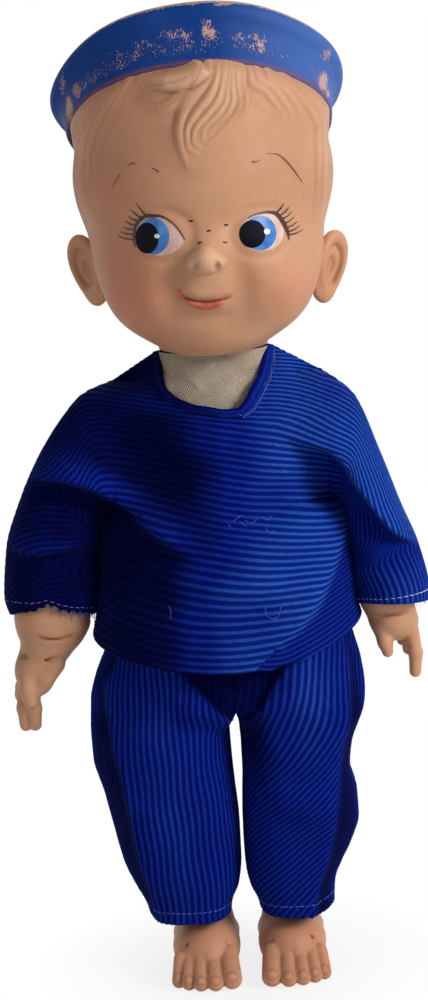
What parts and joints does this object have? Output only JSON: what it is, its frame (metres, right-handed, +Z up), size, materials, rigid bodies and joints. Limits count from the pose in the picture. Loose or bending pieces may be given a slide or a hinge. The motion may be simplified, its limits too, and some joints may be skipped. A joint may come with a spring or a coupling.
{
  "type": "baby doll",
  "caption": "Jointed soft vinyl baby doll with moulded hair and sailor cap, dressed in a corduroy pullover and trousers; head, arms and legs turn on moulded pegs.",
  "frame": {"origin": "on the floor under the middle of the doll, between the soles", "axes": "+Z up along the body, the doll faces -Y, its left side is at +X"},
  "size_m": [0.1354, 0.0946, 0.3108],
  "materials": {
    "vinyl_skin": "soft matt vinyl",
    "corduroy": "ribbed cotton pile",
    "linen": "plain weave",
    "elastic": "braided",
    "snap_steel": "nickelled"
  },
  "bodies": {
    "torso": {"torso": "vinyl_skin", "shirt_front": "corduroy", "shirt_back_left": "corduroy", "shirt_back_right": "corduroy", "neck_dickey": "linen", "back_placket": "corduroy", "snap_stud_upper": "snap_steel", "snap_socket_upper": "snap_steel", "snap_stud_lower": "snap_steel", "snap_socket_lower": "snap_steel", "trouser_seat_left": "corduroy", "trouser_seat_right": "corduroy", "waist_elastic": "elastic"},
    "head": {"head": "vinyl_skin"},
    "left_arm": {"left_arm": "vinyl_skin", "left_sleeve": "corduroy"},
    "right_arm": {"right_arm": "vinyl_skin", "right_sleeve": "corduroy"},
    "left_leg": {"left_leg": "vinyl_skin", "left_trouser_leg": "corduroy"},
    "right_leg": {"right_leg": "vinyl_skin", "right_trouser_leg": "corduroy"}
  },
  "joints": [
    {"name": "neck_turn", "type": "hinge", "parent": "torso", "child": "head", "pos_m": [0, 0, 0.2038], "axis": [0, 0, 1], "continuous": true},
    {"name": "left_shoulder", "type": "hinge", "parent": "torso", "child": "left_arm", "pos_m": [0.03, 0, 0.18], "axis": [-1, 0, 0], "range_deg": [-30, 75]},
    {"name": "right_shoulder", "type": "hinge", "parent": "torso", "child": "right_arm", "pos_m": [-0.03, 0, 0.18], "axis": [-1, 0, 0], "range_deg": [-30, 75]},
    {"name": "left_hip", "type": "hinge", "parent": "torso", "child": "left_leg", "pos_m": [0.012, 0, 0.1], "axis": [-1, 0, 0], "range_deg": [-15, 60], "deforming": ["shirt_front", "trouser_seat_left"]},
    {"name": "right_hip", "type": "hinge", "parent": "torso", "child": "right_leg", "pos_m": [-0.012, 0, 0.1], "axis": [-1, 0, 0], "range_deg": [-15, 60], "deforming": ["shirt_front", "trouser_seat_right"]}
  ]
}
